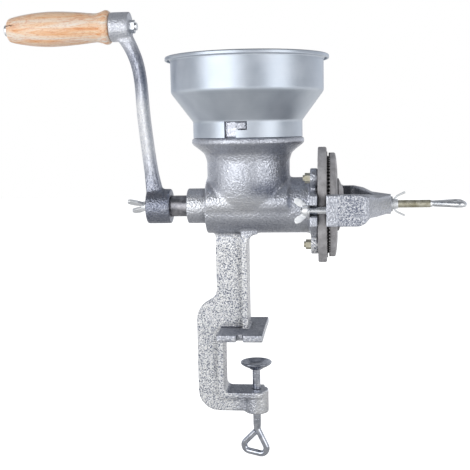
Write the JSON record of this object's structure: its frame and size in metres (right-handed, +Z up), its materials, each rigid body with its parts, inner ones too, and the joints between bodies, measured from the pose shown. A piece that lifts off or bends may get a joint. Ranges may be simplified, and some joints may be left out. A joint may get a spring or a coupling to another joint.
{
  "type": "hand crank grain mill",
  "caption": "Table-clamp hand crank burr mill: sheet hopper, cast body with feed worm, fixed and turning grinding plates, screw-adjusted yoke, S-shaped crank with turned wooden grip.",
  "frame": {"origin": "middle of the underside of the fixed upper clamp jaw, which rests on the table top", "axes": "X along the shaft towards the grinding plates, Y to the back, Z up along the hopper's axis"},
  "size_m": [0.387, 0.1364, 0.3873],
  "materials": {
    "cast_paint": "hammered silver-grey enamel on sand-cast iron",
    "sheet_tin": "satin spun sheet steel",
    "bare_iron": "bare sand-cast iron",
    "shaft_steel": "turned steel",
    "bright_zinc": "bright zinc plate",
    "yellow_zinc": "yellow passivated zinc plate",
    "beech": "turned and lacquered hardwood"
  },
  "bodies": {
    "frame": {"mill_body": "cast_paint", "stationary_plate": "bare_iron", "plate_bolts": "yellow_zinc", "plate_nuts": "yellow_zinc", "yoke": "cast_paint", "yoke_studs": "shaft_steel"},
    "hopper": {"hopper": "sheet_tin"},
    "thrust": {"thrust_ball": "shaft_steel"},
    "rotor": {"auger": "shaft_steel", "crank_arm": "cast_paint", "handle_spindle": "bright_zinc", "spindle_nut": "bright_zinc", "rotating_plate": "bare_iron", "plate_carrier": "bare_iron", "drive_pin": "shaft_steel"},
    "grip": {"handle_grip": "beech"},
    "crank_screw_seat": {"crank_washer": "bright_zinc"},
    "crank_screw": {"crank_wing_screw": "bright_zinc"},
    "adjuster": {"adjusting_screw": "bright_zinc"},
    "lock_nut_seat": {"lock_washer": "bright_zinc"},
    "lock_nut": {"lock_wing_nut": "bright_zinc"},
    "front_nut_seat": {"front_washer": "bright_zinc"},
    "front_nut": {"front_wing_nut": "bright_zinc"},
    "rear_nut_seat": {"rear_washer": "bright_zinc"},
    "rear_nut": {"rear_wing_nut": "bright_zinc"},
    "cup": {"clamp_cup": "bright_zinc"},
    "clamp": {"clamp_screw": "bright_zinc"}
  },
  "joints": [
    {"name": "hopper_twist", "type": "hinge", "parent": "frame", "child": "hopper", "pos_m": [0.0067, 0, 0.1678], "axis": [0, 0, 1], "range_deg": [0, 10]},
    {"name": "burr_gap", "type": "slide", "parent": "frame", "child": "thrust", "axis": [1, 0, 0], "range_m": [-0.0006, 0.004]},
    {"name": "adjust_turn", "type": "hinge", "parent": "thrust", "child": "adjuster", "pos_m": [0.1115, 0, 0.1104], "axis": [1, 0, 0], "range_deg": [-156, 972]},
    {"name": "crank_spin", "type": "hinge", "parent": "thrust", "child": "rotor", "pos_m": [0.0067, 0, 0.1104], "axis": [1, 0, 0], "continuous": true},
    {"name": "grip_spin", "type": "hinge", "parent": "rotor", "child": "grip", "pos_m": [-0.1433, 0, 0.262], "axis": [1, 0, 0], "continuous": true},
    {"name": "crank_screw_travel", "type": "slide", "parent": "rotor", "child": "crank_screw_seat", "axis": [-1, 0, 0], "range_m": [0, 0.004]},
    {"name": "crank_screw_turn", "type": "hinge", "parent": "crank_screw_seat", "child": "crank_screw", "pos_m": [-0.0805, 0, 0.1104], "axis": [-1, 0, 0], "range_deg": [-12, 972]},
    {"name": "front_nut_travel", "type": "slide", "parent": "frame", "child": "front_nut_seat", "axis": [-1, 0, 0], "range_m": [0, 0.004]},
    {"name": "front_nut_turn", "type": "hinge", "parent": "front_nut_seat", "child": "front_nut", "pos_m": [0.0567, -0.0546, 0.1104], "axis": [-1, 0, 0], "range_deg": [-12, 972]},
    {"name": "rear_nut_travel", "type": "slide", "parent": "frame", "child": "rear_nut_seat", "axis": [-1, 0, 0], "range_m": [0, 0.004]},
    {"name": "rear_nut_turn", "type": "hinge", "parent": "rear_nut_seat", "child": "rear_nut", "pos_m": [0.0567, 0.0546, 0.1104], "axis": [-1, 0, 0], "range_deg": [-12, 972]},
    {"name": "lock_nut_travel", "type": "slide", "parent": "frame", "child": "lock_nut_seat", "axis": [1, 0, 0], "range_m": [0, 0.004]},
    {"name": "lock_nut_turn", "type": "hinge", "parent": "lock_nut_seat", "child": "lock_nut", "pos_m": [0.1287, 0, 0.1104], "axis": [1, 0, 0], "range_deg": [-12, 972]},
    {"name": "clamp_travel", "type": "slide", "parent": "frame", "child": "cup", "axis": [0, 0, 1], "range_m": [-0.016, 0.014]},
    {"name": "clamp_turn", "type": "hinge", "parent": "cup", "child": "clamp", "pos_m": [0.0105, 0, -0.06], "axis": [0, 0, 1], "range_deg": [-3852, 3372]}
  ],
  "couplings": [
    {"joint": "adjust_turn", "follows": "burr_gap", "rad_per_m": 4188.8},
    {"joint": "crank_screw_turn", "follows": "crank_screw_travel", "rad_per_m": 4188.8},
    {"joint": "front_nut_turn", "follows": "front_nut_travel", "rad_per_m": 4188.8},
    {"joint": "rear_nut_turn", "follows": "rear_nut_travel", "rad_per_m": 4188.8},
    {"joint": "lock_nut_turn", "follows": "lock_nut_travel", "rad_per_m": 4188.8},
    {"joint": "clamp_turn", "follows": "clamp_travel", "rad_per_m": 4188.8}
  ]
}
